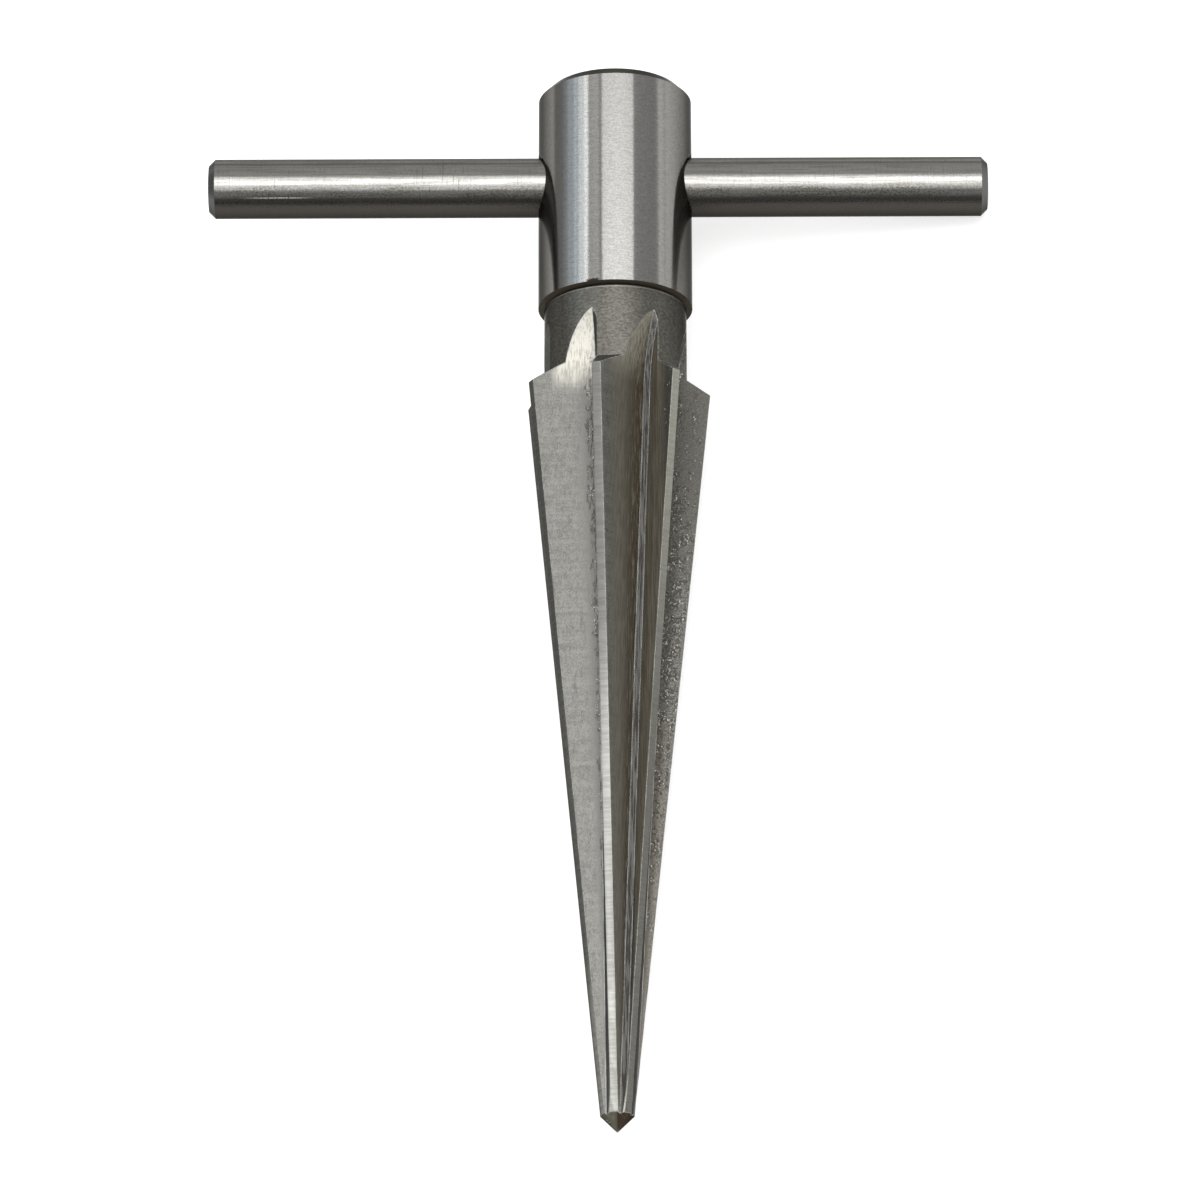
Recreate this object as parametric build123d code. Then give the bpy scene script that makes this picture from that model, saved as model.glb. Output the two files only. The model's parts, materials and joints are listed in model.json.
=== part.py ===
from build123d import *
import os
from math import asin, cos, radians, sin, tan

# A T-handle taper reamer, laid down as it comes to rest on a bench. Each
# piece is drawn on the tool's own axis first: the origin is the middle of
# the head's lower face, the point looks down (-Z), the crossbar runs along X
# and the user sees the -Y side. All sizes are in millimetres.

# Tapered body, measured over the cutting edges
BIG_END_DIAMETER = 22.0
SMALL_END_DIAMETER = 3.9
TAPER_LENGTH = 86.9
POINT_ANGLE = 90.0
TIP_RADIUS = 0.12

# Neck and back shoulder
SHOULDER_DEPTH = 11.0  # from the head's lower face down to the cutting edges
SHOULDER_CONE_LENGTH = 1.9
NECK_DIAMETER = 16.6
NECK_EDGE_CHAMFER = 0.15

# Straight flutes, milled by a wheel with one flat side
FLUTE_COUNT = 7
FIRST_WALL_ANGLE = -12.5  # of the front blade's wall, from -Y towards +X
WALL_OFFSET = 0.35  # the wall stands this far ahead of the radial plane
FLUTE_CORNER_ANGLE = 82.0  # between a flute's wall and its floor
ROOT_AT_BIG_END = 6.3  # from the tool's axis to the flute's root
ROOT_AT_SMALL_END = 1.47
ROOT_BEVEL = 0.55  # the wheel has a bevelled corner, which leaves a narrow strip
WHEEL_RADIUS = 27.0
WHEEL_STOP = 0.5  # the wheel's axis stops this far below the shoulder
WHEEL_EXIT_TURN = 90.0  # how much of its rim stands in the run-out

# Seat and spigot that carry the head
SEAT_DIAMETER = 15.2
SEAT_HEIGHT = 0.25
SPIGOT_DIAMETER = 12.0
SPIGOT_LENGTH = 23.0
SPIGOT_CHAMFER = 0.6

# Ground head
HEAD_DIAMETER = 18.0
HEAD_LENGTH = 27.3
HEAD_CHAMFER = 1.1
BORE_END_ROOM = 0.4
HOLE_MOUTH_CHAMFER = 0.45

# Crossbar
BAR_DIAMETER = 7.0
BAR_LENGTH = 91.4
BAR_CHAMFER = 0.75
BAR_HEIGHT = 15.5  # from the head's lower face up to the bar's axis
BAR_SHIFT = -2.0  # the bar is pushed through a little to one side

# Room around the spigot and around the bar
FIT_ROOM = 0.02

# Passes in which the tool settles on the bench
SETTLING_PASSES = 6

BIG_RADIUS = BIG_END_DIAMETER / 2
SMALL_RADIUS = SMALL_END_DIAMETER / 2
NECK_RADIUS = NECK_DIAMETER / 2
SEAT_RADIUS = SEAT_DIAMETER / 2
SPIGOT_RADIUS = SPIGOT_DIAMETER / 2
HEAD_RADIUS = HEAD_DIAMETER / 2
BAR_RADIUS = BAR_DIAMETER / 2
POINT_LENGTH = SMALL_RADIUS / tan(radians(POINT_ANGLE / 2))
SHOULDER_Z = -SHOULDER_DEPTH
POINT_BASE_Z = SHOULDER_Z - TAPER_LENGTH
BOTTOM_ON_ORIGIN = (Align.CENTER, Align.CENTER, Align.MIN)


def turned_blank():
    """The steel turned to its outline, before the flutes are milled."""
    tip_height = TIP_RADIUS / sin(radians(POINT_ANGLE / 2)) - POINT_LENGTH
    with BuildPart() as blank:
        with BuildSketch(Plane.XZ):
            with BuildLine():
                tip_centre = (0, POINT_BASE_Z + tip_height)
                tip = CenterArc(tip_centre, TIP_RADIUS, -90, 90 - POINT_ANGLE / 2)
                Polyline(
                    tip @ 1,
                    (SMALL_RADIUS, POINT_BASE_Z),
                    (BIG_RADIUS, SHOULDER_Z),
                    (NECK_RADIUS, SHOULDER_Z + SHOULDER_CONE_LENGTH),
                    (NECK_RADIUS, -SEAT_HEIGHT - NECK_EDGE_CHAMFER),
                    (NECK_RADIUS - NECK_EDGE_CHAMFER, -SEAT_HEIGHT),
                    (SEAT_RADIUS, -SEAT_HEIGHT),
                    (SEAT_RADIUS, 0),
                    (SPIGOT_RADIUS, 0),
                    (SPIGOT_RADIUS, SPIGOT_LENGTH - SPIGOT_CHAMFER),
                    (SPIGOT_RADIUS - SPIGOT_CHAMFER, SPIGOT_LENGTH),
                    (0, SPIGOT_LENGTH),
                    tip @ 0,
                )
            make_face()
        revolve(axis=Axis.Z)
    return blank.part


def flute_space():
    """What the milling wheel removes for one flute, with its wall along +X.

    The wheel runs straight from beyond the point up to the shoulder. Where
    it stops, its own round rim leaves the pointed run-out in the neck.
    """
    rise = (ROOT_AT_BIG_END - ROOT_AT_SMALL_END) / TAPER_LENGTH
    stop_root = ROOT_AT_BIG_END - rise * WHEEL_STOP
    stop = Vector(stop_root, -WALL_OFFSET, SHOULDER_Z - WHEEL_STOP)
    outwards = Vector(1, 0, -rise).normalized()
    rim = Plane(origin=stop, x_dir=outwards, z_dir=Vector(rise, 0, 1))
    wheel_axis = Axis(stop + outwards * WHEEL_RADIUS, (0, 1, 0))
    width = BIG_RADIUS + ROOT_BEVEL
    floor_lean = width * tan(radians(90 - FLUTE_CORNER_ANGLE))
    with BuildPart() as space:
        with BuildSketch(rim) as wheel_edge:
            with BuildLine():
                Polyline((floor_lean, -width), (0, 0), (width, 0), (width, -width), close=True)
            make_face()
            chamfer(wheel_edge.vertices().sort_by(Axis.X)[0], ROOT_BEVEL)
        extrude(amount=-TAPER_LENGTH - POINT_LENGTH)
        revolve(wheel_edge.sketch, wheel_axis, WHEEL_EXIT_TURN)
    return space.part


def bar_hole():
    """The cross hole that takes the bar."""
    hole = Cylinder(BAR_RADIUS + FIT_ROOM, BAR_LENGTH, rotation=(0, 90, 0))
    return Pos(0, 0, BAR_HEIGHT) * hole


def reamer():
    """Point, fluted body, neck and spigot, all one piece of steel."""
    body = turned_blank()
    for flute in range(FLUTE_COUNT):
        wall_angle = FIRST_WALL_ANGLE - 90 + flute * 360 / FLUTE_COUNT
        body -= Rot(0, 0, wall_angle) * flute_space()
    return body - bar_hole()


def head_collar():
    """The ground head that is pushed on over the spigot down to the seat."""
    head = Cylinder(HEAD_RADIUS, HEAD_LENGTH, align=BOTTOM_ON_ORIGIN)
    head = chamfer(head.edges().group_by(Axis.Z)[-1], HEAD_CHAMFER)
    head -= bar_hole()
    head = chamfer(head.edges().filter_by(GeomType.BSPLINE), HOLE_MOUTH_CHAMFER)
    bore_depth = SPIGOT_LENGTH + BORE_END_ROOM
    return head - Cylinder(SPIGOT_RADIUS + FIT_ROOM, bore_depth, align=BOTTOM_ON_ORIGIN)


def crossbar():
    """The plain round bar through the head."""
    bar = Cylinder(BAR_RADIUS, BAR_LENGTH, rotation=(0, 90, 0))
    bar = chamfer(bar.edges().filter_by(GeomType.CIRCLE), BAR_CHAMFER)
    return Pos(BAR_SHIFT, 0, BAR_HEIGHT) * bar


def bench_under(body):
    """The bench's plane, through the three places where the tool touches it.

    The tool rolls over until the end of its bar comes down. It then stands
    on the rim of that end and on the two lowest corners of its blades.
    """
    bar_reach = BAR_SHIFT + BAR_LENGTH / 2 - BAR_CHAMFER
    roll = asin((BIG_RADIUS - BAR_RADIUS) / bar_reach)
    up = Vector(-sin(roll), -cos(roll), 0)
    low_corners = body.vertices().sort_by(Axis((0, 0, 0), up))[:2]
    left, right = [corner.center() for corner in low_corners.sort_by(Axis.X)]
    for _ in range(SETTLING_PASSES):
        rim_drop = Vector(0, up.Y, up.Z).normalized() * BAR_RADIUS
        bar_end = Vector(bar_reach, 0, BAR_HEIGHT) - rim_drop
        up = (right - left).cross(bar_end - left).normalized()
    return Plane(origin=left, x_dir=Vector(0, 0, 1).cross(up), z_dir=up)


def laid_down(upright):
    """All pieces on the bench, with the origin under the middle of the tool."""
    bench = bench_under(upright["reamer"])
    lying = {name: bench.to_local_coords(piece) for name, piece in upright.items()}
    box = Compound(list(lying.values())).bounding_box()
    to_origin = Pos(-box.center().X, -box.center().Y, -box.min.Z)
    return {name: to_origin * piece for name, piece in lying.items()}


tool = laid_down({"reamer": reamer(), "head_collar": head_collar(), "crossbar": crossbar()})

os.makedirs("parts", exist_ok=True)
for name, piece in tool.items():
    export_step(piece, f"parts/{name}.step")
    print(f"{name}: {piece.volume:.0f} mm3")
print("overall size:", Compound(list(tool.values())).bounding_box().size)
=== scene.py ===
# %% [markdown]
# # A T-handle taper reamer
#
# This hand tool opens up a drilled hole. A plain round bar goes through a
# ground steel head, and below the head a tapered body with seven straight
# flutes ends in a conical point. The three pieces arrive as exact solids, so
# their shapes are finished before Blender starts. What is left to do here is
# the camera, the light and the steel itself: every surface of this tool was
# cut, ground or drawn in its own way, and each way leaves its own marks.

# %% Load the tool
import bpy
import json
from math import cos, degrees, pi, radians, sin, tan
from mathutils import Matrix, Vector

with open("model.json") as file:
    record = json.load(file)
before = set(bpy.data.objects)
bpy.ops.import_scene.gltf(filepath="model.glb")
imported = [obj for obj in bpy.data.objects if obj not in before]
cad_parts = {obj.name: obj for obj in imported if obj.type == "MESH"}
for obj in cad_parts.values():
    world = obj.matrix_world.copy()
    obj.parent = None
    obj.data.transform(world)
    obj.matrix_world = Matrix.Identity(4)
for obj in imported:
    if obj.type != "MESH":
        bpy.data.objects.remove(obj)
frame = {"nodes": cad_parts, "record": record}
bpy.context.view_layer.update()
nodes = frame["nodes"]
MM = 0.001
print("pieces:", ", ".join(sorted(nodes)))

# %% [markdown]
# ## The tool's own directions
#
# The reamer lies on the floor, resting on two of its blades and on one end
# of its bar, so it is tilted a little both ways. Everything about it is
# easier to say along the tool than along the floor: up towards the handle,
# right along the bar, and front, the side that the camera sees. The record
# of the part holds the axis of the head and of the bar, and the third
# direction is square to both.

# %% Find the tool's axes
mounts = {mount["name"]: mount for mount in frame["record"]["mounts"]}
to_handle = Vector(mounts["head_top"]["axis"])
to_right = Vector(mounts["bar_right"]["axis"])
to_front = to_right.cross(to_handle)
head_top = Vector(mounts["head_top"]["pos_m"])
heights = [(vertex.co - head_top).dot(to_handle) for vertex in nodes["head_collar"].data.vertices]
head_length = -min(heights)
head_foot = head_top - to_handle * head_length
print("head length in mm:", round(head_length / MM, 2))


def tool_point(right, back, up):
    """A place given in mm from the middle of the head's lower face."""
    return head_foot + (to_right * right - to_front * back + to_handle * up) * MM


def tool_direction(around, along):
    """A direction, in degrees around the tool from its front and along it to the handle."""
    level = to_right * sin(radians(around)) + to_front * cos(radians(around))
    return level * cos(radians(along)) + to_handle * sin(radians(along))


# %% [markdown]
# ## The camera
#
# The tool was photographed from a little below its middle with a long lens.
# Laid on the floor, the same view becomes a look down from above. The
# camera is placed in the tool's own directions, so it keeps the view of
# the photograph however the tool happens to lie.

# %% Set up the camera
CAMERA_BELOW = 20.52
CAMERA_ASIDE = 0.34
CAMERA_ROLL = -0.09
CAMERA_DISTANCE = 0.8151
LENS = 212.69
SENSOR = 36.0
NEAREST_SEEN = 0.01
FARTHEST_SEEN = 20
AIM_RIGHT = -1.85
AIM_UP = -36.21

aim = tool_point(AIM_RIGHT, 0, AIM_UP)
to_camera = tool_direction(CAMERA_ASIDE, -CAMERA_BELOW)
camera_side = to_handle.cross(to_camera).normalized()
camera_up = to_camera.cross(camera_side)
view_turn = Matrix((camera_side, camera_up, to_camera)).transposed()
lens = bpy.data.cameras.new("camera")
lens.lens = LENS
lens.sensor_width = SENSOR
lens.clip_start = NEAREST_SEEN
lens.clip_end = FARTHEST_SEEN
camera = bpy.data.objects.new("camera", lens)
bpy.context.collection.objects.link(camera)
camera.matrix_world = (
    Matrix.Translation(aim + to_camera * CAMERA_DISTANCE)
    @ view_turn.to_4x4()
    @ Matrix.Rotation(radians(CAMERA_ROLL), 4, "Z")
)
bpy.context.scene.camera = camera
bpy.context.scene.view_settings.view_transform = "Standard"
print("camera height above the floor in mm:", round(camera.matrix_world.translation.z / MM))

# %% [markdown]
# ## A workbench for nodes
#
# A finish is a small network of nodes. Writing every node and every wire by
# hand hides the idea behind the wiring, so a little workbench does that
# part. Each of its tools adds one node, plugs in what it is given, whether
# that is a number or another node's output, and hands back the result.


# %% The workbench
def tools_of(bench):
    """The names of a workbench's tools."""
    return ", ".join(tool for tool in vars(bench) if not tool.startswith("_"))


class Network:
    """The nodes of a finish or of the room, with tools to add more."""

    def __init__(self, owner):
        owner.use_nodes = True
        self.tree = owner.node_tree

    def tell(self, what):
        """Prints how far the network has grown."""
        print(what + ":", len(self.tree.nodes), "nodes so far")

    def plug(self, socket, value):
        """Wires an output into a socket, or writes a plain value on it."""
        if isinstance(value, bpy.types.NodeSocket):
            self.tree.links.new(value, socket)
        else:
            socket.default_value = value

    def node(self, kind, inputs, **settings):
        """Adds a node with its settings and plugs its inputs in."""
        made = self.tree.nodes.new("ShaderNode" + kind)
        for setting, value in settings.items():
            setattr(made, setting, value)
        for socket, value in inputs.items():
            self.plug(made.inputs[socket], value)
        return made

    def math(self, operation, *values):
        """One step of arithmetic on numbers."""
        return self.node("Math", dict(enumerate(values)), operation=operation).outputs[0]

    def vector(self, operation, *vectors):
        """One step of arithmetic on vectors."""
        return self.node("VectorMath", dict(enumerate(vectors)), operation=operation).outputs

    def split(self, vector):
        """The three numbers of a place or a direction."""
        return self.node("SeparateXYZ", {0: vector}).outputs

    def size(self, value):
        """A number without its sign."""
        return self.math("ABSOLUTE", value)

    def add(self, first, *others):
        """The sum of several numbers."""
        for other in others:
            first = self.math("ADD", first, other)
        return first


print("tools for nodes:", tools_of(Network))

# %% [markdown]
# Most of the work is done with shares: 1 where a mark covers the steel, 0
# where it doesn't, and something between on its soft rim. Shares can be
# joined like plain statements, this and that, this or that, not this, and in
# the end each one decides between two numbers or two colours.


# %% Tools for shares
class Shares(Network):
    """A network with tools that make shares and use them."""

    def both(self, first, *others):
        """The product of several numbers, so shares give 1 only where each of them is 1."""
        for other in others:
            first = self.math("MULTIPLY", first, other)
        return first

    def either(self, first, second):
        """The larger of two shares."""
        return self.math("MAXIMUM", first, second)

    def no(self, share):
        """1 where a share is 0, and 0 where it is 1."""
        return self.math("SUBTRACT", 1.0, share)

    def above(self, value, start, end):
        """0 below start, 1 above end, and a soft ramp between them."""
        inputs = {"Value": value, "From Min": start, "From Max": end}
        return self.node("MapRange", inputs, interpolation_type="SMOOTHSTEP").outputs[0]

    def below(self, value, start, end):
        """1 below start, 0 above end, and a soft ramp between them."""
        return self.no(self.above(value, start, end))

    def between(self, value, rise, fall):
        """1 between two soft ramps, and 0 outside of them."""
        return self.both(self.above(value, *rise), self.below(value, *fall))

    def near(self, value, middle, full, gone):
        """1 as near as full to the middle value, and 0 further off than gone: a thin line."""
        return self.below(self.size(self.math("SUBTRACT", value, middle)), full, gone)

    def sum(self, *parts):
        """Adds marks up, each as strong as the number beside it says."""
        return self.add(*[self.both(mark, strength) for mark, strength in parts])

    def line(self, value, start, end, first, last):
        """A straight ramp that gives first at start, last at end, and carries on beyond both."""
        inputs = {"Value": value, "From Min": start, "From Max": end, "To Min": first, "To Max": last}
        return self.node("MapRange", inputs, clamp=False).outputs[0]

    def blend(self, share, first, second):
        """Mixes two numbers, and share 1 gives the second."""
        made = self.node("Mix", {0: share, 2: first, 3: second}, data_type="FLOAT")
        return made.outputs[0]

    def tint(self, share, first, second):
        """Mixes two colours, and share 1 gives the second."""
        made = self.node("Mix", {0: share, 6: first, 7: second}, data_type="RGBA")
        return made.outputs[2]


print("tools for shares:", tools_of(Shares))

# %% [markdown]
# A finish is such a network with Blender's principled shader at its end. Its
# first two tools make random marks. Another two help with edges: no real edge
# is knife sharp, and the little round along it catches the light, so one tool
# gives the direction that the surface would face with its edges rounded, in
# the shading only, and the other tells where that direction has turned away
# from the flat face.

# %% A finish
EDGE_TURNED = 0.94
EDGE_FLAT = 0.9995


class Finish(Shares):
    """One finish: a material with its shader."""

    def __init__(self, name):
        self.material = bpy.data.materials.new(name)
        super().__init__(self.material)
        self.steel = self.tree.nodes["Principled BSDF"]

    def set(self, **values):
        """Plugs values into the shader, with its socket names in small letters."""
        for name, value in values.items():
            self.plug(self.steel.inputs[name.replace("_", " ").title()], value)

    def noise(self, place, per_mm, detail=2.0, roughness=0.5):
        """Random marks between 0 and 1. per_mm says how densely they lie to the right, back and up."""
        spread = self.node("Mapping", {"Vector": place, "Scale": per_mm}).outputs[0]
        inputs = {"Vector": spread, "Scale": 1.0, "Detail": detail, "Roughness": roughness}
        return self.node("TexNoise", inputs).outputs[0]

    def patches(self, noise, softness, level=0.5):
        """Cuts noise into marked and clean patches. A small softness gives them hard rims."""
        return self.above(noise, level - softness, level + softness)

    def rounded(self, radius):
        """Which way the surface faces if its edges were rounded by a radius in mm."""
        return self.node("Bevel", {"Radius": MM * radius}, samples=4).outputs[0]

    def edges(self, rounded):
        """1 right on the rounded edges of the piece and 0 on its faces."""
        flat = self.node("NewGeometry", {}).outputs["True Normal"]
        turn = self.vector("DOT_PRODUCT", rounded, flat)["Value"]
        return self.below(turn, EDGE_TURNED, EDGE_FLAT)

    def bump(self, height, rounded=None):
        """Raises the surface by a height in mm, in the shading only."""
        bumped = self.node("Bump", {"Height": height, "Distance": MM})
        if rounded:
            self.plug(bumped.inputs["Normal"], rounded)
        self.set(normal=bumped.outputs[0])

    def wear(self, piece):
        """Gives the finish to a piece of the tool."""
        nodes[piece].material_slots[0].material = self.material
        self.tell(piece + " finished")


print("tools for a finish:", tools_of(Finish))

# %% [markdown]
# The marks on a tool run along it or around it, so a finish has to know
# where on the tool a point lies. One mapping node turns the place of a
# point into millimetres along the tool's own directions, and a second one
# does the same for the way that the surface faces.

# %% Tool coordinates for a finish
TOOL_TURN = Matrix((to_right, -to_front, to_handle)).transposed().to_euler()


def tool_place(finish):
    """Where a point lies on the tool, in mm: x right, y back, z up to the handle."""
    spot = finish.node("TexCoord", {}).outputs["Object"]
    inputs = {"Vector": spot, "Location": head_foot, "Rotation": TOOL_TURN, "Scale": (MM, MM, MM)}
    return finish.node("Mapping", inputs, vector_type="TEXTURE").outputs[0]


def tool_normal(finish):
    """Which way the surface faces, in the tool's own directions."""
    facing = finish.node("TexCoord", {}).outputs["Normal"]
    inputs = {"Vector": facing, "Rotation": TOOL_TURN}
    return finish.node("Mapping", inputs, vector_type="TEXTURE").outputs[0]


def from_axis(finish, place):
    """The straight line from the tool's axis out to a point, and its length in mm."""
    spoke = finish.vector("MULTIPLY", place, (1, 1, 0))[0]
    return spoke, finish.vector("LENGTH", spoke)["Value"]


print("tool turn in degrees:", [round(degrees(turn), 1) for turn in TOOL_TURN])

# %% [markdown]
# ## Steel under a thin film
#
# Clean steel mirrors a good half of the light. Steel that has been handled
# carries a thin film of oil and oxide, which takes some of the light on its
# way in and again on its way out, and most where the surface is seen aslant.
# A coat that hardly bends light does the same, so every steel here is bare
# metal under such a coat, and only the strength of the film differs.

# %% Steel under a film
DULL_FILM = (0.42, 0.415, 0.40, 1)
THIN_FILM = (0.68, 0.675, 0.66, 1)
FILM_BEND = 1.03
FILM_ROUGHNESS = 0.12
EDGE_TINT = (0.40, 0.395, 0.38, 1)


def make_steel(finish, film, anisotropic=0.0):
    """The values that every steel here shares: bare metal under a thin dulling film."""
    finish.set(metallic=1.0, specular_tint=EDGE_TINT, anisotropic=anisotropic)
    finish.set(coat_weight=1.0, coat_roughness=FILM_ROUGHNESS, coat_tint=film)
    finish.steel.inputs["Coat IOR"].default_value = FILM_BEND
    if anisotropic:
        along = finish.node("CombineXYZ", dict(enumerate(to_handle)))
        finish.set(tangent=along.outputs[0])


print("film tints:", DULL_FILM[:3], "and", THIN_FILM[:3])

# %% [markdown]
# ## The ground head
#
# The head is turned from bar and then ground round, and the grinding wheel
# leaves fine lines round it. Light that meets them spreads up and down the
# head but hardly to the sides, so the room shows in it as upright bands with
# sharp edges. The shader does the same with its anisotropy, with the tool's
# own direction as its tangent. The top, its bevel and the lower face are
# only turned, so they stay duller and darker. Which way a point faces tells
# the two kinds of face apart.

# %% Find the faces of the head
TURNED_FACING = (0.3, 0.5)
UNDER_FACING = (-0.6, -0.4)

head = Finish("ground_head")
make_steel(head, DULL_FILM, anisotropic=1.0)
head_place = tool_place(head)
head_facing_up = head.split(tool_normal(head))[2]
turned = head.above(head.size(head_facing_up), *TURNED_FACING)
under = head.below(head_facing_up, *UNDER_FACING)
head.tell("head faces")

# %% [markdown]
# The wheel's lines run round the head, so their noise is dense along the
# tool and sparse round it. A finer grain breaks them up, and slow waves in
# the ground surface bend the reflections a little. On the turned faces the
# tool's tip left rings, which only depend on the distance from the axis.

# %% Mark the head
lines = head.noise(head_place, (1.1, 1.1, 6.0), detail=3.0, roughness=0.6)
waves = head.noise(head_place, (0.5, 0.5, 0.1))
head_grain = head.noise(head_place, (5.5, 5.5, 5.5), roughness=0.7)
head_out = from_axis(head, head_place)[1]
ring_line = head.node("CombineXYZ", {0: head_out}).outputs[0]
turned_rings = head.noise(ring_line, (4.5, 4.5, 4.5), detail=3.0, roughness=0.7)
head.tell("head marks")

# %% [markdown]
# The head's lower edge has one small nick at the front, painted dark as the
# shade inside it. It lies where three things hold at once: close to one place
# along the bar, just above the lower face, and on the front half. The grain
# makes its upper rim ragged.

# %% Nick the lower edge
NICK_RIGHT = -2.6
NICK_HEIGHT = 0.28
NICK_SOFTNESS = 0.06
NICK_RAGGED = 0.25
FRONT_HALF = (-1.0, 0.0)

across, behind, head_up = head.split(head_place)
ragged_head_up = head.add(head_up, head.line(head_grain, 0.0, 1.0, -NICK_RAGGED, NICK_RAGGED))
nick = head.both(
    head.near(across, NICK_RIGHT, full=0.5, gone=0.9),
    head.below(ragged_head_up, NICK_HEIGHT - NICK_SOFTNESS, NICK_HEIGHT + NICK_SOFTNESS),
    head.below(behind, *FRONT_HALF),
)
head.tell("nick")

# %% [markdown]
# Colour comes last. Metal has no paint on it, so its colour is how much of
# the light it gives back: bright where the wheel cut clean, duller in worn
# lines and in the grooves of turning. Dirt has filled the narrow gap under
# the head, and dirt is no metal, so the metallic value falls to nothing there.

# %% Colour the head
HEAD_STEEL = (0.88, 0.88, 0.88, 1)
HEAD_WORN = (0.66, 0.66, 0.655, 1)
TURNED_STEEL = (0.42, 0.40, 0.37, 1)
TURNED_GROOVE = (0.27, 0.255, 0.23, 1)
GAP_DIRT = (0.62, 0.54, 0.42, 1)
NICK_SHADE = (0.10, 0.095, 0.085, 1)
GROUND_ROUGHNESS = (0.15, 0.20)
TURNED_ROUGHNESS = 0.42
TURNED_METAL = 0.75

head_worn = head.sum((lines, 0.4), (head_grain, 0.6))
ground_colour = head.tint(head.patches(head_worn, softness=0.14), HEAD_STEEL, HEAD_WORN)
grooves = head.patches(turned_rings, softness=0.13, level=0.49)
turned_colour = head.tint(grooves, TURNED_STEEL, TURNED_GROOVE)
head_colour = head.tint(turned, ground_colour, turned_colour)
# The nick is painted dark: painted shade.
head_colour = head.tint(nick, head_colour, NICK_SHADE)
head.set(base_color=head.tint(under, head_colour, GAP_DIRT))
head.set(roughness=head.blend(turned, head.blend(head_grain, *GROUND_ROUGHNESS), TURNED_ROUGHNESS))
head.set(metallic=head.blend(under, head.blend(turned, 1.0, TURNED_METAL), 0.0))
head.tell("head colour")

# %% [markdown]
# The lines and rings are far too fine to model. A bump turns their height, in
# mm, into small changes of the way that the surface faces, and that is all
# that the eye sees of them on the real head.

# %% Raise the head's marks
LINE_HEIGHT = 0.0008
GRAIN_HEIGHT = 0.0016
WAVE_HEIGHT = 0.006
RING_HEIGHT = 0.02

head_height = head.sum(
    (lines, LINE_HEIGHT),
    (head_grain, GRAIN_HEIGHT),
    (waves, WAVE_HEIGHT),
    (head.both(turned, turned_rings), RING_HEIGHT),
)
head.bump(head_height)
head.wear("head_collar")

# %% [markdown]
# ## The drawn bar
#
# The bar is cut from bright drawn rod. Drawing it through a die leaves long
# streaks, and years in the hand leave tarnish in specks. Here and there it
# has been rubbed across, above all where it was pushed through the head. The
# flank towards the point is painted dark as painted shade, and the bevels at
# both ends are plain turned steel. A bar is the same all the way round, so
# only the way that its surface faces can tell these sides apart.

# %% Find the faces of the bar
END_FACING = (0.4, 0.6)
FLANK_FACING_POINT = (0.72, 0.84)
FLANK_FACING_BACK = (0.1, 0.4)

bar = Finish("drawn_bar")
make_steel(bar, THIN_FILM)
bar_place = tool_place(bar)
along_bar = bar.split(bar_place)[0]
facing_right, facing_back, bar_facing_up = bar.split(tool_normal(bar))
facing_point = bar.both(bar_facing_up, -1.0)
ends = bar.above(bar.size(facing_right), *END_FACING)
# The flank towards the point is painted dark: a painted shade.
painted_shade_flank = bar.both(
    bar.above(facing_point, *FLANK_FACING_POINT),
    bar.below(facing_back, *FLANK_FACING_BACK),
)
bar.tell("bar faces")

# %% [markdown]
# Noise that is stretched along the bar gives the streaks, and noise that is
# dense along it gives the rubs across. Two marks have their own places, in
# mm from the tool's axis: where the bar was pushed, and one bright scratch
# near its left end.

# %% Mark the bar
PUSHED_RIGHT = -20.5
SCRATCH_RIGHT = -39.5
SCRATCH_FACING = 0.655

streaks = bar.noise(bar_place, (0.14, 4.0, 4.0), detail=3.0, roughness=0.6)
specks = bar.noise(bar_place, (3.8, 5.0, 5.0), detail=3.0, roughness=0.7)
blotches = bar.noise(bar_place, (0.16, 0.4, 0.4))
rubs = bar.noise(bar_place, (5.0, 0.35, 0.35))
pushed = bar.near(along_bar, PUSHED_RIGHT, full=2.0, gone=4.5)
bar_scratch = bar.both(
    bar.near(along_bar, SCRATCH_RIGHT, full=1.5, gone=5.0),
    bar.near(facing_point, SCRATCH_FACING, full=0.008, gone=0.022),
    bar.patches(specks, softness=0.06, level=0.44),
)
bar.tell("bar marks")

# %% [markdown]
# Tarnish is one share that all these marks add to. Specks count most on the
# side towards the point. More tarnish means a darker steel and a rougher one,
# so the same share drives both.

# %% Tarnish the bar and paint the shade on its flank
BAR_STEEL = (0.40, 0.396, 0.388, 1)
BAR_TARNISH = (0.15, 0.137, 0.112, 1)
BAR_PAINTED_SHADE = (0.093, 0.085, 0.079, 1)
BAR_END = (0.20, 0.205, 0.205, 1)
BAR_SCRATCH = (0.58, 0.57, 0.53, 1)
STREAK_TARNISH = 0.30
RUB_TARNISH = (0.18, 0.42)
BLOTCH_TARNISH = (0.55, 1.0)
SPECK_TARNISH = (0.20, 0.84)
SPECKS_FACING_POINT = (0.22, 0.50)
BAR_ROUGHNESS = (0.18, 0.34)

speck_tarnish = bar.both(
    bar.patches(specks, softness=0.12),
    bar.blend(bar.patches(blotches, softness=0.15, level=0.45), *BLOTCH_TARNISH),
    bar.blend(bar.above(facing_point, *SPECKS_FACING_POINT), *SPECK_TARNISH),
)
streak_tarnish = bar.both(bar.patches(streaks, softness=0.085, level=0.535), STREAK_TARNISH)
rub_tarnish = bar.both(
    bar.patches(rubs, softness=0.06, level=0.62),
    bar.blend(pushed, *RUB_TARNISH),
)
tarnish = bar.math("MINIMUM", bar.add(speck_tarnish, streak_tarnish, rub_tarnish), 1.0)
bar_colour = bar.tint(tarnish, BAR_STEEL, BAR_TARNISH)
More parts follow.
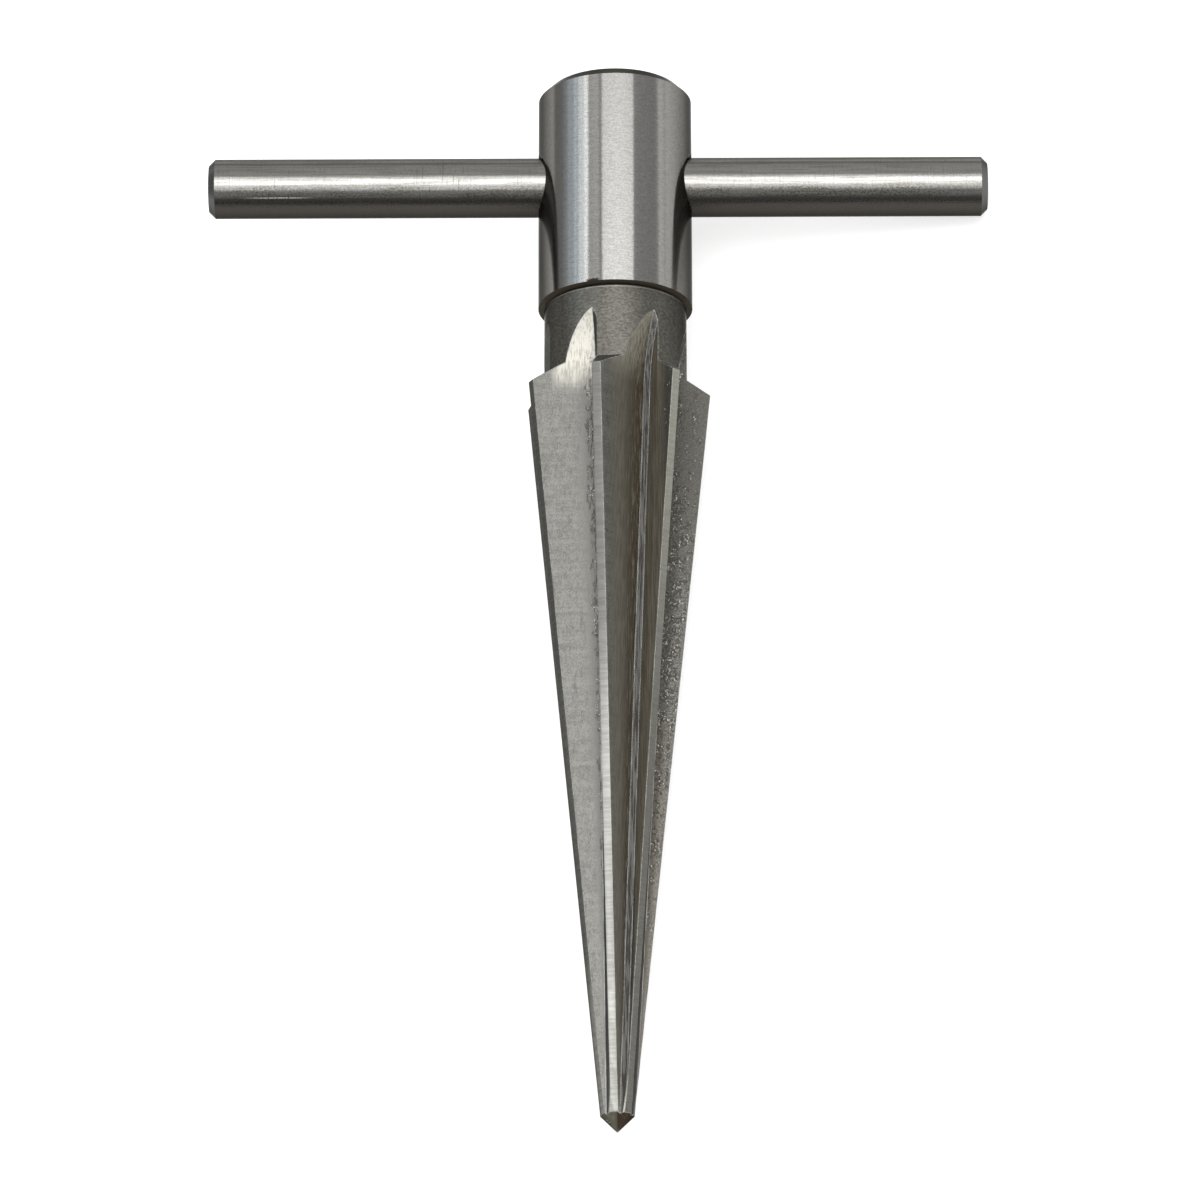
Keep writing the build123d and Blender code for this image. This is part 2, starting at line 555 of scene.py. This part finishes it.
# The flank towards the point gets its painted shade here.
bar_colour = bar.tint(painted_shade_flank, bar_colour, BAR_PAINTED_SHADE)
bar_colour = bar.tint(bar_scratch, bar_colour, BAR_SCRATCH)
bar.set(base_color=bar.tint(ends, bar_colour, BAR_END))
bar.set(metallic=bar.no(bar_scratch), roughness=bar.blend(tarnish, *BAR_ROUGHNESS))
bar.tell("tarnish")

# %% [markdown]
# The same marks also stand up a little. The streaks are the highest, because
# the die's own scratches drew them into the steel.

# %% Raise the bar's marks
STREAK_HEIGHT = 0.006
SPECK_HEIGHT = 0.004
RUB_HEIGHT = 0.0008

bar.bump(bar.sum((streaks, STREAK_HEIGHT), (specks, SPECK_HEIGHT), (rubs, RUB_HEIGHT)))
bar.wear("crossbar")

# %% [markdown]
# ## The fluted body
#
# The body is one piece of steel, but no two of its faces were cut alike.
# They could be made as objects with a material each, or painted by hand, but
# then every change of a size would ask for the same work again. Where a
# point lies and which way its surface faces say which face it is on, so one
# material can carry them all. The distance from the tool's axis is compared
# with two radii at the same height: that of the taper, which the lands
# reach, and that of the flute's root.

# %% Measure the body
BIG_RADIUS = 11.0
SMALL_RADIUS = 1.95
BIG_ROOT = 6.3
SMALL_ROOT = 1.47
SHOULDER_UP = -11.0
POINT_UP = -97.9

body = Finish("cut_body")
make_steel(body, DULL_FILM)
body_place = tool_place(body)
body_normal = tool_normal(body)
right, back, up = body.split(body_place)
facing_up = body.split(body_normal)[2]
spoke, out = from_axis(body, body_place)
spoke = body.vector("NORMALIZE", spoke)[0]
outward = body.vector("DOT_PRODUCT", spoke, body_normal)["Value"]
sideways = body.split(body.vector("CROSS_PRODUCT", body_normal, spoke)[0])[2]
taper_radius = body.line(up, POINT_UP, SHOULDER_UP, SMALL_RADIUS, BIG_RADIUS)
root_radius = body.line(up, POINT_UP, SHOULDER_UP, SMALL_ROOT, BIG_ROOT)
reach = body.math("DIVIDE", out, taper_radius)
off_root = body.math("DIVIDE", out, root_radius)
body.tell("body measured")

# %% [markdown]
# Seven kinds of face come out of these numbers. A land reaches the taper's
# radius and faces straight out. A flute's wall faces sideways, its floor
# faces the other way, and the narrow strip that the wheel's bevelled corner
# left lies between the two. Above the flutes come the shoulder and the neck,
# and below them the tip.

# %% Tell the faces apart
NECK_RADIUS = 8.3
NECK_FOOT_UP = -9.1
LAND_REACH = (0.955, 0.975)
LAND_OUTWARD = (0.8, 0.9)
NECK_OUTWARD = (0.93, 0.97)
WALL_SIDEWAYS = (0.84, 0.92)
STRIP_SIDEWAYS = (0.05, 0.15)
SHOULDER_FACING_UP = (0.5, 0.7)

fluted = body.below(up, SHOULDER_UP - 0.05, SHOULDER_UP)
land = body.both(fluted, body.above(reach, *LAND_REACH), body.above(outward, *LAND_OUTWARD))
wall = body.above(sideways, *WALL_SIDEWAYS)
strip = body.both(body.above(sideways, *STRIP_SIDEWAYS), body.no(wall))
neck = body.both(
    body.above(out, NECK_RADIUS - 0.2, NECK_RADIUS - 0.1),
    body.above(up, NECK_FOOT_UP - 0.1, NECK_FOOT_UP + 0.1),
    body.above(outward, *NECK_OUTWARD),
)
shoulder = body.both(
    body.above(facing_up, *SHOULDER_FACING_UP),
    body.above(up, SHOULDER_UP - 0.2, SHOULDER_UP - 0.1),
    body.below(up, NECK_FOOT_UP, NECK_FOOT_UP + 0.2),
)
tip = body.below(up, POINT_UP - 0.1, POINT_UP)
body.tell("faces of the body")

# %% [markdown]
# Thirteen kinds of random marks are shared out over these faces. Each is
# noise, stretched the way that its tool moved: along the flute for the
# milling wheel and for scratches, across it for the grinding of the lands.
# Grain, dents and stains are rounder. Real tool marks never repeat, so noise
# suits them better than a pattern would.

# %% Scatter the marks
milling = body.noise(body_place, (5.0, 5.0, 0.25), detail=3.0, roughness=0.6)
ripple = body.noise(body_place, (0.25, 0.25, 3.2), detail=3.0, roughness=0.6)
blots = body.noise(body_place, (0.6, 0.6, 0.2), detail=3.0)
grain = body.noise(body_place, (4.5, 4.5, 4.5), roughness=0.6)
neck_grain = body.noise(body_place, (2.4, 2.4, 4.0), detail=3.0, roughness=0.7)
scores = body.noise(body_place, (4.0, 4.0, 0.6), roughness=0.6)
curls = body.noise(body_place, (3.2, 3.2, 2.6), detail=1.0)
spots = body.noise(body_place, (1.3, 1.3, 0.9), detail=3.0, roughness=0.6)
rings = body.noise(body_place, (1.7, 1.7, 0.45), detail=1.0)
fine = body.noise(body_place, (6.5, 6.5, 5.0), roughness=0.7)
mottle = body.noise(body_place, (1.6, 1.6, 0.8), detail=3.0, roughness=0.65)
scratches = body.noise(body_place, (6.0, 6.0, 0.1), roughness=0.6)
cross_lines = body.noise(body_place, (0.15, 0.15, 2.2), detail=3.0, roughness=0.6)
body.tell("marks on the body")

# %% [markdown]
# The flutes have not aged alike. On the front, old oil has stained all that
# lies right of the middle, and one wall there was cut smooth where the
# others tore. Such places belong to this one tool, so they are given in mm
# to the right of its axis.

# %% Find the stained side
STAINED_FROM = (-1.0, 0.5)
SMOOTH_FROM = (1.5, 2.5)
SMOOTH_TO = (5.0, 6.0)

front = body.below(back, *FRONT_HALF)
stained = body.both(body.above(right, *STAINED_FROM), front)
smooth_wall = body.both(wall, body.between(right, SMOOTH_FROM, SMOOTH_TO), front)
body.tell("stained side")

# %% [markdown]
# The wheel's flat side rubs along the wall more than it cuts, so the steel
# tears there and comes out pitted. It tore most beside the flute's root, less
# near the cutting edge and near the handle, and not at all close to the
# point. On the floor only the band beside the root tore, and none of it on
# the stained side.

# %% Find where the cut tore
TORN_FLOOR_END = (1.03, 1.16)
TORN_WALL_EDGE = (1.30, 1.80)
TORN_WALL_FOOT = (-88.0, -60.0)
TORN_WALL_TOP = (-32.0, -18.0)
TORN_AT_EDGE = 0.45
TORN_AT_TOP = 0.55

torn_floor = body.both(body.below(off_root, *TORN_FLOOR_END), body.no(stained))
torn_wall = body.both(
    body.blend(body.above(off_root, *TORN_WALL_EDGE), 1.0, TORN_AT_EDGE),
    body.above(up, *TORN_WALL_FOOT),
    body.blend(body.above(up, *TORN_WALL_TOP), 1.0, TORN_AT_TOP),
)
torn = body.blend(wall, torn_floor, torn_wall)
torn = body.both(torn, body.no(neck), body.no(smooth_wall), body.no(strip))
body.tell("torn steel")

# %% [markdown]
# Noise makes more than round spots. Where two kinds of noise are high at
# once, the spots break up into scores. Where noise is near one value, it
# draws thin curls, as the shores of a lake do on a map, and those serve for
# dents, chips and small round blemishes.

# %% Break the surface up
CHIP_SOFTNESS = 0.04
FLECK_STRENGTH = (0.5, 1.0)

torn_spots = body.both(spots, body.blend(torn, *FLECK_STRENGTH))
flecked = body.patches(torn_spots, softness=0.05, level=0.41)
scored = body.both(flecked, body.patches(scores, softness=0.05, level=0.51), body.no(wall))
dented = body.both(flecked, body.near(curls, 0.42, full=0.06, gone=0.10), wall)
chipped = body.both(
    flecked,
    body.near(curls, 0.60, full=0.03, gone=0.06),
    body.patches(fine, softness=CHIP_SOFTNESS),
    body.patches(mottle, softness=CHIP_SOFTNESS),
)
blemish = body.both(body.near(rings, 0.68, full=0.01, gone=0.035), fluted)
blemish = body.both(blemish, body.no(wall), body.no(strip), body.no(stained))
scratched = body.both(body.patches(scratches, softness=0.03, level=0.59), stained)
body.tell("scores, dents, chips and scratches")

# %% [markdown]
# Colour is laid on like coats of paint: first the plain floor, and then each
# face over it, wherever its share is 1. The floor's steel is worn in a
# mottle with fine lines across, and down at the root it is one even tone.

# %% Colour the flute's floor
FLOOR_STEEL = (0.49, 0.49, 0.473, 1)
FLOOR_WORN = (0.325, 0.323, 0.307, 1)
CORNER_STEEL = (0.38, 0.38, 0.365, 1)
DARK_SCORE = (0.16, 0.15, 0.13, 1)
BLEMISH_SHARE = 0.35
CORNER_END = (1.03, 1.30)

floor_worn = body.sum((mottle, 0.24), (cross_lines, 0.22), (fine, 0.54))
colour = body.tint(body.patches(floor_worn, softness=0.10), FLOOR_STEEL, FLOOR_WORN)
colour = body.tint(body.both(blemish, BLEMISH_SHARE), colour, DARK_SCORE)
corner = body.below(off_root, *CORNER_END)
colour = body.tint(corner, colour, CORNER_STEEL)
body.tell("floor colour")

# %% [markdown]
# Old oil dries to a warm grey film that follows the milling lines. It
# gathers at the root, where it turns brown, and fine scratches have cut
# through it to bright steel.

# %% Stain the flute with oil
OIL_STAIN = (0.59, 0.565, 0.49, 1)
OIL_STREAK = (0.43, 0.405, 0.345, 1)
CORNER_STAIN = (0.40, 0.35, 0.275, 1)
BROWN_STREAK = (0.26, 0.17, 0.12, 1)
LIGHT_SCRATCH = (0.95, 0.90, 0.77, 1)
OIL_SHARE = 0.85
SCRATCH_SHARE = 0.9
BROWN_SHARE = 0.5

oil = body.tint(body.patches(milling, softness=0.14), OIL_STAIN, OIL_STREAK)
colour = body.tint(body.both(stained, OIL_SHARE), colour, oil)
corner_stained = body.both(corner, stained, body.patches(blots, softness=0.125, level=0.325))
colour = body.tint(corner_stained, colour, CORNER_STAIN)
colour = body.tint(body.both(scratched, corner, SCRATCH_SHARE), colour, LIGHT_SCRATCH)
brown_streak = body.both(corner_stained, body.patches(scores, softness=0.05, level=0.55), BROWN_SHARE)
colour = body.tint(brown_streak, colour, BROWN_STREAK)
body.tell("oil stains")

# %% [markdown]
# Where the wheel stopped and left the steel, its rim cut a pointed leaf into
# the neck. It dwelt there and polished the run-out, and the leaf left of the
# middle is also painted near white as a painted highlight, so it is the
# brightest face of the body. Its lower end fades raggedly into the flute,
# because noise is added to the height that it is measured by.

# %% Polish the run-outs and paint the front leaf's highlight
RUNOUT_POLISH_AND_HIGHLIGHT = (0.95, 0.93, 0.87, 1)
RUNOUT_STREAK = (0.68, 0.66, 0.60, 1)
RUNOUT_STAIN = (0.76, 0.73, 0.63, 1)
RUNOUT_FROM = (-7.6, -6.8)
RUNOUT_TO = (-2.0, -1.2)
RUNOUT_RAGGED = 2.5

runout = body.above(up, SHOULDER_UP - 1.5, SHOULDER_UP + 2.5)
stained_runout = body.both(stained, runout, body.patches(milling, softness=0.10))
colour = body.tint(stained_runout, colour, RUNOUT_STAIN)
ragged_up = body.add(up, body.line(mottle, 0.0, 1.0, -RUNOUT_RAGGED, RUNOUT_RAGGED))
front_runout = body.both(
    body.no(wall),
    body.above(ragged_up, SHOULDER_UP - 2.5, SHOULDER_UP + 2.0),
    body.between(right, RUNOUT_FROM, RUNOUT_TO),
    front,
)
runout_streaks = body.patches(milling, softness=0.07, level=0.55)
# The front leaf is painted near white: partly polish, partly a painted highlight.
runout_polish_and_highlight = body.tint(runout_streaks, RUNOUT_POLISH_AND_HIGHLIGHT, RUNOUT_STREAK)
colour = body.tint(front_runout, colour, runout_polish_and_highlight)
body.tell("run-outs")

# %% [markdown]
# The wheel's bevelled corner left a narrow strip between wall and floor. Dirt
# lies in long streaks in it on the stained side, and elsewhere it is bare.

# %% Colour the strip
STRIP_STEEL = (0.27, 0.27, 0.262, 1)
STRIP_STREAK = (0.09, 0.086, 0.078, 1)
STRIP_BARE = (0.40, 0.40, 0.385, 1)

dirty_strip = body.tint(body.patches(scratches, softness=0.08), STRIP_STEEL, STRIP_STREAK)
colour = body.tint(strip, colour, body.tint(stained, STRIP_BARE, dirty_strip))
body.tell("strip")

# %% [markdown]
# The walls are the cutting faces. Their torn steel is a speckle of light and
# dark grains, darkest right at the root. Higher up towards the handle the walls
# are painted darker as painted shade.
# The one smooth wall carries streaks of oil and a few scratches instead.

# %% Colour the walls
WALL_STEEL = (0.60, 0.595, 0.565, 1)
WALL_DARK_GRAIN_AND_SHADE = (0.245, 0.236, 0.215, 1)
WALL_STAIN = (0.64, 0.58, 0.48, 1)
WALL_STAIN_WORN = (0.46, 0.41, 0.335, 1)
WALL_FOOT = (1.28, 1.50)
WALL_SHADE_TOP = (-45.0, -20.0)
SHADE_AT_TOP = 0.72
WALL_SCRATCH_SHARE = 0.45

wall_grain = body.patches(fine, softness=0.08)
worn_low = body.either(wall_grain, body.below(off_root, *WALL_FOOT))
# Towards the handle the walls are painted darker: painted shade.
grain_and_shade_high = body.blend(wall_grain, SHADE_AT_TOP, 1.0)
wall_grain_and_shade = body.blend(body.above(up, *WALL_SHADE_TOP), worn_low, grain_and_shade_high)
colour = body.tint(wall, colour, body.tint(wall_grain_and_shade, WALL_STEEL, WALL_DARK_GRAIN_AND_SHADE))
wall_stain = body.tint(body.patches(milling, softness=0.08), WALL_STAIN, WALL_STAIN_WORN)
colour = body.tint(smooth_wall, colour, wall_stain)
wall_scratch = body.both(smooth_wall, scratched, WALL_SCRATCH_SHARE)
colour = body.tint(wall_scratch, colour, LIGHT_SCRATCH)
body.tell("walls")

# %% [markdown]
# A land is the narrow outer face behind a cutting edge. It was ground to the
# taper's size and then wears against the hole, brightest on the lower part,
# which does most of the work. Oil has dulled the land on the stained side,
# less and less towards the handle. So there are four states, each with a
# clean and a worn colour.

# %% Find the rubbed part of the lands
RUBBED_TOP = (-62.0, -38.0)
RUBBED_RIGHT = (-3.6, -2.6)
RUBBED_LEFT_SHARE = 0.3
OIL_THINS = (-58.0, -12.0)

land_grain = body.sum((ripple, 0.5), (fine, 0.5))
land_worn = body.blend(
    stained,
    body.patches(ripple, softness=0.15),
    body.patches(land_grain, softness=0.10),
)
rubbed = body.both(
    body.below(up, *RUBBED_TOP),
    body.no(stained),
    body.blend(body.above(right, *RUBBED_RIGHT), RUBBED_LEFT_SHARE, 1.0),
)
upper_land = body.above(up, *OIL_THINS)
body.tell("worn lands")

# %% [markdown]
# One function mixes the four states, first for the clean steel and then for
# the worn lines across it.

# %% Colour the lands
LAND_STEEL = (0.42, 0.422, 0.41, 1)
LAND_WORN = (0.32, 0.323, 0.312, 1)
RUBBED_LAND = (0.92, 0.92, 0.90, 1)
RUBBED_LAND_WORN = (0.70, 0.70, 0.68, 1)
STAINED_LAND = (0.45, 0.45, 0.42, 1)
STAINED_LAND_WORN = (0.36, 0.36, 0.34, 1)
STAINED_LAND_TOP = (0.88, 0.88, 0.80, 1)
STAINED_LAND_WORN_TOP = (0.70, 0.70, 0.64, 1)


def land_colour(plain, bright, oiled, oiled_top):
    """The colour of a land, from its plain, rubbed and oiled states."""
    dry = body.tint(rubbed, plain, bright)
    oily = body.tint(upper_land, oiled, oiled_top)
    return body.tint(stained, dry, oily)


clean_land = land_colour(LAND_STEEL, RUBBED_LAND, STAINED_LAND, STAINED_LAND_TOP)
worn_land = land_colour(LAND_WORN, RUBBED_LAND_WORN, STAINED_LAND_WORN, STAINED_LAND_WORN_TOP)
colour = body.tint(land, colour, body.tint(land_worn, clean_land, worn_land))
body.tell("lands")

# %% [markdown]
# Scores and dents are dark, because light doesn't find its way out of them,
# and the chips are painted bright white as painted glints. They come after the
# faces, so that they lie on top, but the lands, the neck and the polished
# run-out have none.

# %% Colour the scores and paint the glints of the chips
BARE_STEEL_AND_PAINTED_HIGHLIGHT = (0.98, 0.98, 0.96, 1)
SCORE_SHARE = 0.75
DENT_SHARE = 0.85
GLINT_SHARES = (0.8, 0.9)

rough_cut = body.no(body.either(neck, body.either(land, front_runout)))
colour = body.tint(body.both(scored, rough_cut, SCORE_SHARE), colour, DARK_SCORE)
colour = body.tint(body.both(dented, rough_cut, DENT_SHARE), colour, DARK_SCORE)
# Chips are painted bright white: painted glints.
painted_glint = body.both(chipped, rough_cut, body.blend(wall, *GLINT_SHARES))
colour = body.tint(painted_glint, colour, BARE_STEEL_AND_PAINTED_HIGHLIGHT)
body.tell("scores and chips")

# %% [markdown]
# The neck was left as turned and then blasted to a matt grain. The shoulder
# below it faces the handle and is painted nearly black as painted shade. The
# cone of the point is painted in two tones as painted shade, light on the left
# and dark brown on the right, and the line between them runs straight up from
# the tip.

# %% Colour the neck, the shoulder and the point
NECK_STEEL = (0.40, 0.388, 0.358, 1)
NECK_WORN = (0.225, 0.217, 0.196, 1)
SHOULDER_PAINTED_SHADE = (0.050, 0.048, 0.042, 1)
POINT_STEEL = (0.37, 0.35, 0.28, 1)
POINT_PAINTED_SHADE = (0.16, 0.115, 0.082, 1)
POINT_SPLIT = (-0.15, 0.1)

neck_colour = body.tint(body.patches(neck_grain, softness=0.16), NECK_STEEL, NECK_WORN)
colour = body.tint(neck, colour, neck_colour)
# The shoulder is painted nearly black: painted shade.
colour = body.tint(shoulder, colour, SHOULDER_PAINTED_SHADE)
# The right half of the point is painted dark brown: painted shade.
point_shaded_colour = body.tint(body.above(right, *POINT_SPLIT), POINT_STEEL, POINT_PAINTED_SHADE)
colour = body.tint(tip, colour, point_shaded_colour)
body.tell("neck, shoulder and point")

# %% [markdown]
# Edges get knocked and rubbed until bare steel shows, and they are painted
# near white, partly as a painted highlight. They could be rounded in the mesh,
# but the rounds are only two tenths of a millimetre, so they stay in the
# shading. The wheel also pushed up a thin burr along the flute's root, painted
# in broken near-white lines, partly as a painted highlight.

# %% Wear the edges and paint their highlights
EDGE_RADIUS = 0.20
BURR_END = (1.25, 1.40)

rounded = body.rounded(EDGE_RADIUS)
edge = body.edges(rounded)
# Worn edges are rubbed bare and painted near white, partly as a painted highlight.
worn_and_highlit_edge = body.both(
    edge,
    body.patches(blots, softness=0.125, level=0.425),
    body.patches(grain, softness=0.125, level=0.475),
)
colour = body.tint(worn_and_highlit_edge, colour, BARE_STEEL_AND_PAINTED_HIGHLIGHT)
# The burr is painted in near-white lines, partly as a painted highlight.
burr_and_highlight = body.both(
    edge,
    body.below(off_root, *BURR_END),
    body.either(strip, fluted),
    body.patches(scratches, softness=0.08, level=0.48),
)
colour = body.tint(burr_and_highlight, colour, BARE_STEEL_AND_PAINTED_HIGHLIGHT)
body.tell("edges")

# %% [markdown]
# Right under the head the neck's rim is painted bright as a painted highlight,
# and above it dirt has filled the joint between the two pieces. Both are only
# a few tenths of a millimetre high, so their heights are measured down from
# the head's lower face.

# %% Colour the rim and the joint
JOINT_DIRT = (0.38, 0.33, 0.26, 1)
RIM_FROM = (-0.62, -0.50)
RIM_TO = (-0.32, -0.27)
RIM_RADIUS = (8.0, 8.1)
RIM_HIGHLIGHT_SHARE = 0.6
JOINT_FROM = (-0.30, -0.26)

# The neck's rim is painted bright: a painted highlight.
neck_rim_highlight = body.both(body.between(up, RIM_FROM, RIM_TO), body.above(out, *RIM_RADIUS))
colour = body.tint(body.both(neck_rim_highlight, RIM_HIGHLIGHT_SHARE), colour, BARE_STEEL_AND_PAINTED_HIGHLIGHT)
joint = body.above(up, *JOINT_FROM)
colour = body.tint(joint, colour, JOINT_DIRT)
body.set(base_color=colour)
body.tell("body colour")

# %% [markdown]
# Tarnish and dirt scatter light, and bare steel only mirrors it. The metallic
# value says how much of each a face shows, so clean ground faces are near 1
# and dirt is 0. Chips are 0 as well, so that their painted glint lights up
# from every side. The film lies over everything but the shoulder, the chips
# and part of the burrs. It takes most light from a surface that is seen edge
# on, and those would lose nearly all of theirs.

# %% Share out the bare metal and the film
FLOOR_METAL = (0.82, 0.66)
BURR_SHARE = 0.4
METAL_SHARES = (
    (wall, 0.62),
    (land, 0.95),
    (front_runout, 0.97),
    (neck, 0.90),
    (shoulder, 0.25),
    (joint, 0.0),
    (tip, 0.85),
    (painted_glint, 0.0),
)

metal = body.blend(stained, *FLOOR_METAL)
for face, share in METAL_SHARES:
    metal = body.blend(face, metal, share)
no_film = body.either(shoulder, body.either(painted_glint, body.both(burr_and_highlight, BURR_SHARE)))
body.set(metallic=metal, coat_weight=body.no(no_film))
body.tell("metal and film")

# %% [markdown]
# Roughness says how far the mirrored room is blurred. The ground lands are
# the smoothest faces, and the torn walls and the oily floor the dullest.

# %% Roughen the faces
MILLED_ROUGHNESS = (0.42, 0.50)
OILY_ROUGHNESS = 0.55
FACE_ROUGHNESS = ((wall, 0.52), (front_runout, 0.45), (land, 0.30), (neck, 0.42))

rough = body.blend(stained, body.blend(milling, *MILLED_ROUGHNESS), OILY_ROUGHNESS)
for face, roughness in FACE_ROUGHNESS:
    rough = body.blend(face, rough, roughness)
body.set(roughness=rough)
body.tell("roughness")

# %% [markdown]
# Last come the heights of the marks, in mm. None is a tenth of a millimetre
# high, so they belong in the shading and not in the mesh. Scores go down,
# chips stand up, and the torn steel is pitted by its grain.

# %% Raise the body's marks
LAND_LINE_HEIGHT = 0.012
NECK_GRAIN_HEIGHT = 0.045

pits = body.both(body.either(wall, torn), grain)
cut_height = body.sum(
    (milling, 0.004),
    (ripple, 0.004),
    (mottle, 0.02),
    (scored, -0.012),
    (chipped, 0.03),
    (pits, 0.06),
)
body_height = body.blend(land, cut_height, body.both(ripple, LAND_LINE_HEIGHT))
body_height = body.blend(neck, body_height, body.both(neck_grain, NECK_GRAIN_HEIGHT))
body.bump(body_height, rounded)
body.wear("reamer")

# %% [markdown]
# ## The floor
#
# The tool lies on a plain white floor. Lit by the lamps alone, white paint
# comes out light grey in the picture, so the floor also glows a little.
# The metal has to mirror the same white floor that the camera sees, so the
# glow shows to the camera and to reflections, and the lamps still draw the
# tool's soft shadow.

# %% Lay the floor
FLOOR_REACH = 3.0
FLOOR_PAINT = (0.55, 0.55, 0.55, 1)
FLOOR_ROUGHNESS = 0.9
FLOOR_GLOW = 0.65
WHITE = (1, 1, 1, 1)

floor_mesh = bpy.data.meshes.new("floor")
corners = [(x * FLOOR_REACH, y * FLOOR_REACH, 0) for x, y in ((-1, -1), (1, -1), (1, 1), (-1, 1))]
floor_mesh.from_pydata(corners, [], [(0, 1, 2, 3)])
floor = bpy.data.objects.new("floor", floor_mesh)
bpy.context.collection.objects.link(floor)
paint = Finish("white_floor")
paint.set(base_color=FLOOR_PAINT, roughness=FLOOR_ROUGHNESS, emission_color=WHITE)
paint.steel.inputs["Specular IOR Level"].default_value = 0.0
rays = paint.node("LightPath", {}).outputs
seen = paint.either(rays["Is Camera Ray"], rays["Is Glossy Ray"])
seen = paint.either(seen, rays["Is Transmission Ray"])
paint.set(emission_strength=paint.both(seen, FLOOR_GLOW))
floor_mesh.materials.append(paint.material)
paint.tell("floor paint")

# %% [markdown]
# ## The light
#
# Polished steel has hardly any colour of its own. What the eye reads as
# steel is a picture of the room, drawn out into bright and dark bands, so
# lighting it means deciding what it mirrors. The room could be a photograph
# wrapped around the scene, but a plain one is easier to steer. Its walls are
# grey. A narrow dark card beyond the point gives the bar and the neck their
# dark bands, and brighter end walls on both sides keep the rest from going
# black. The camera itself sees white wherever it looks past the floor.

# %% Paint the room
ROOM_LIGHT = 0.5
END_WALL_LIGHT = 1.1
CARD_LIGHT = 0.08
BACKDROP_LIGHT = 1.0
CARD_AHEAD = (0.76, 0.92)
CARD_ASIDE = (0.25, 0.45)
END_WALL_AHEAD = (0.50, 0.70)
END_WALL_ASIDE = (0.35, 0.55)

world = bpy.data.worlds.new("room")
room = Shares(world)
looking = room.node("TexCoord", {}).outputs["Generated"]
ahead = room.vector("DOT_PRODUCT", looking, -to_handle)["Value"]
aside = room.size(room.vector("DOT_PRODUCT", looking, to_right)["Value"])
card = room.both(room.above(ahead, *CARD_AHEAD), room.below(aside, *CARD_ASIDE))
end_walls = room.both(
    room.above(room.size(ahead), *END_WALL_AHEAD),
    room.above(aside, *END_WALL_ASIDE),
)
walls = room.blend(end_walls, ROOM_LIGHT, END_WALL_LIGHT)
walls = room.blend(card, walls, CARD_LIGHT)
to_camera_only = room.node("LightPath", {}).outputs["Is Camera Ray"]
backdrop = room.tree.nodes["Background"].inputs
room.plug(backdrop["Color"], WHITE)
room.plug(backdrop["Strength"], room.blend(to_camera_only, walls, BACKDROP_LIGHT))
bpy.context.scene.world = world
room.tell("room")

# %% [markdown]
# The softboxes hang round the tool at one distance. A round head mirrors each
# of them as one upright band, so a lamp is given as the tool sees it: how far
# round from the front, how far up towards the handle, and how wide and high,
# all in degrees. Narrow lamps on the left, bluer the further round they
# hang, draw the cool stripes along the head's left side.

# %% A softbox
LAMP_DISTANCE = 0.9
LIT_PART = tool_point(0, 0, 0)


def softbox(name, around, along, wide, high, brightness, colour=(1, 1, 1)):
    """A flat lamp that the tool sees in one direction, wide and high in degrees."""
    lamp = bpy.data.lights.new(name, "AREA")
    lamp.shape = "RECTANGLE"
    lamp.size = 2 * LAMP_DISTANCE * tan(radians(wide / 2))
    lamp.size_y = 2 * LAMP_DISTANCE * tan(radians(high / 2))
    lamp.energy = brightness * pi * lamp.size * lamp.size_y
    lamp.color = colour
    hung = bpy.data.objects.new(name, lamp)
    bpy.context.collection.objects.link(hung)
    away = tool_direction(around, along)
    side = to_handle.cross(away).normalized()
    lamp_turn = Matrix((side, away.cross(side), away)).transposed()
    hung.matrix_world = Matrix.Translation(LIT_PART + away * LAMP_DISTANCE) @ lamp_turn.to_4x4()
    hung.visible_camera = False


print("softboxes hang", LAMP_DISTANCE, "m from the head's lower face")

# %% [markdown]
# Five softboxes in front light the faces that the camera sees, from the
# lowest flutes up to the head's bevel, and the strips at both sides draw the
# bright and grey bands near the head's outline. They are hung one band after
# the other.

# %% Hang the softboxes
softbox("key_softbox", around=4, along=4, wide=44, high=24, brightness=4.4)
softbox("key_wing", around=-26, along=-4, wide=12, high=14, brightness=1.5)
softbox("upper_softbox", around=4, along=21, wide=44, high=10, brightness=2.1)
softbox("top_softbox", around=0, along=58, wide=60, high=50, brightness=0.36)
softbox("lower_softbox", around=-4, along=-18, wide=42, high=18, brightness=1.8)

SIDE_ALONG = 14
SIDE_HIGH = 50
SIDE_STRIPS = (
    ("left_strip", -43.2, 5.5, 2.3, (1, 1, 1)),
    ("left_filler", -31, 14, 0.45, (1, 1, 1)),
    ("left_softbox", -51.3, 10.5, 1.75, (0.85, 0.93, 1.0)),
    ("left_edge_strip", -60.5, 4, 1.3, (0.72, 0.86, 1.0)),
    ("left_inner_wall", -68, 13, 0.70, (0.70, 0.865, 1.0)),
    ("left_outer_wall", -78, 9, 0.28, (0.65, 0.81, 1.0)),
)
for name, around, wide, brightness, tone in SIDE_STRIPS:
    softbox(name, around, SIDE_ALONG, wide, SIDE_HIGH, brightness, tone)
softbox("right_strip", around=73.5, along=SIDE_ALONG, wide=11, high=60, brightness=0.85)
print("softboxes:", ", ".join(sorted(lamp.name for lamp in bpy.data.lights)))

# %% [markdown]
# ## Bring the scene up to date
#
# A finish must not change the tool's size. Last, the scene is brought up to
# date.

# %% Update the scene
bpy.context.view_layer.update()
